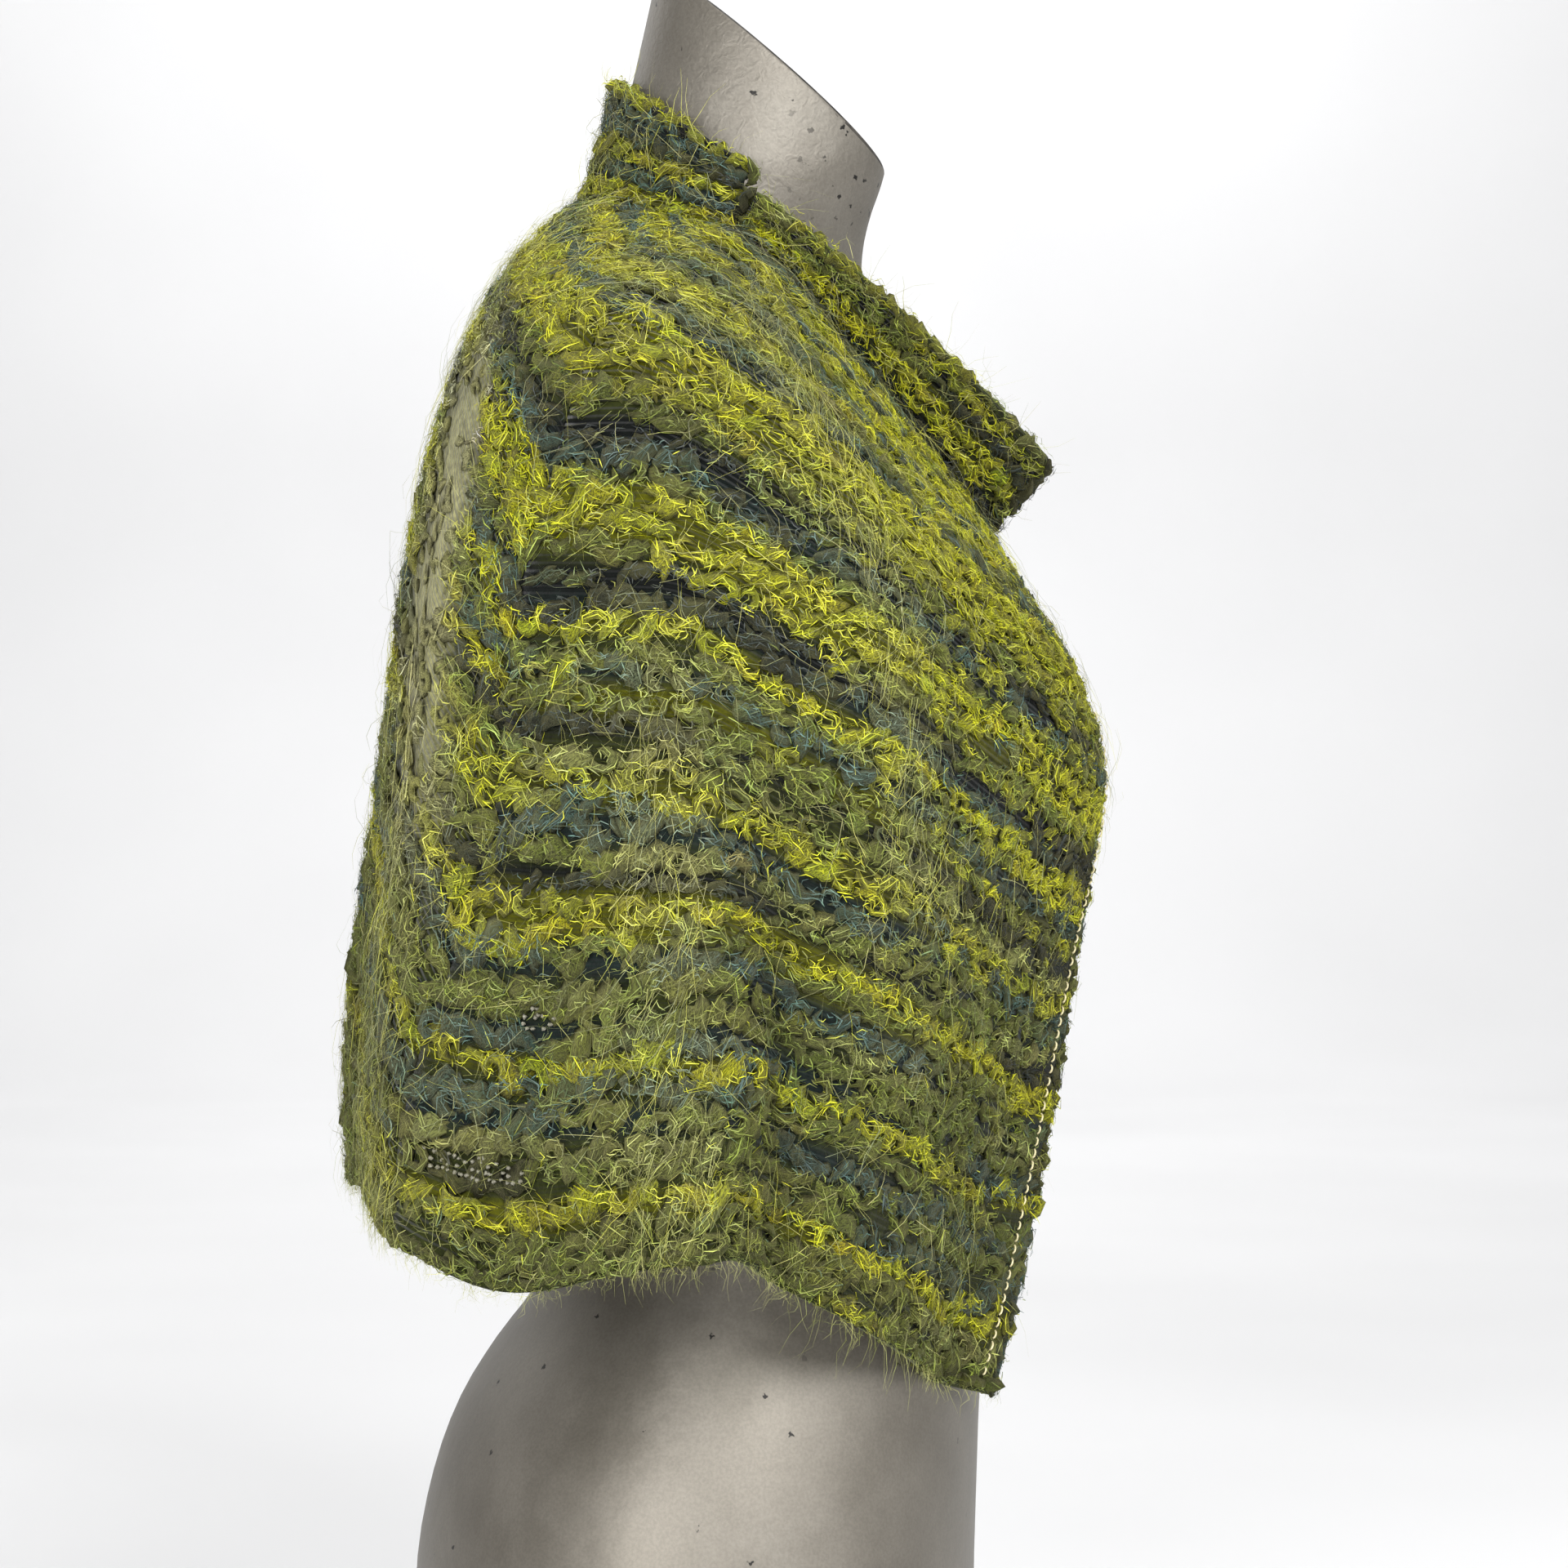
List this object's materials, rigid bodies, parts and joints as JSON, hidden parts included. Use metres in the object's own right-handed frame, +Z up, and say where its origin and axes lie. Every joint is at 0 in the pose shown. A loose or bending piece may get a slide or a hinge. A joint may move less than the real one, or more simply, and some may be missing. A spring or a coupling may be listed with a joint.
{
  "type": "knit bolero on dress form",
  "caption": "Short open-front cape-cut bolero in bulky brushed knit with a stand collar and lapels, resting on a smooth limbless silver dress form.",
  "frame": {"origin": "on the flat base of the dress form, under the neck seam's sides", "axes": "+Z up, -Y to the wearer's front, -X to the wearer's right"},
  "size_m": [0.4469, 0.292, 0.7141],
  "materials": {
    "body_knit": "bulky brushed boucle, space-dyed in chartreuse, olive and slate",
    "collar_knit": "doubled brushed boucle",
    "form_paint": "silver paint on a smooth hull, lightly chipped"
  },
  "bodies": {
    "root": {"front_right": "body_knit", "front_left": "body_knit", "back": "body_knit", "lapel_right": "collar_knit", "lapel_left": "collar_knit", "collar_back": "collar_knit", "dress_form": "form_paint"}
  },
  "joints": []
}
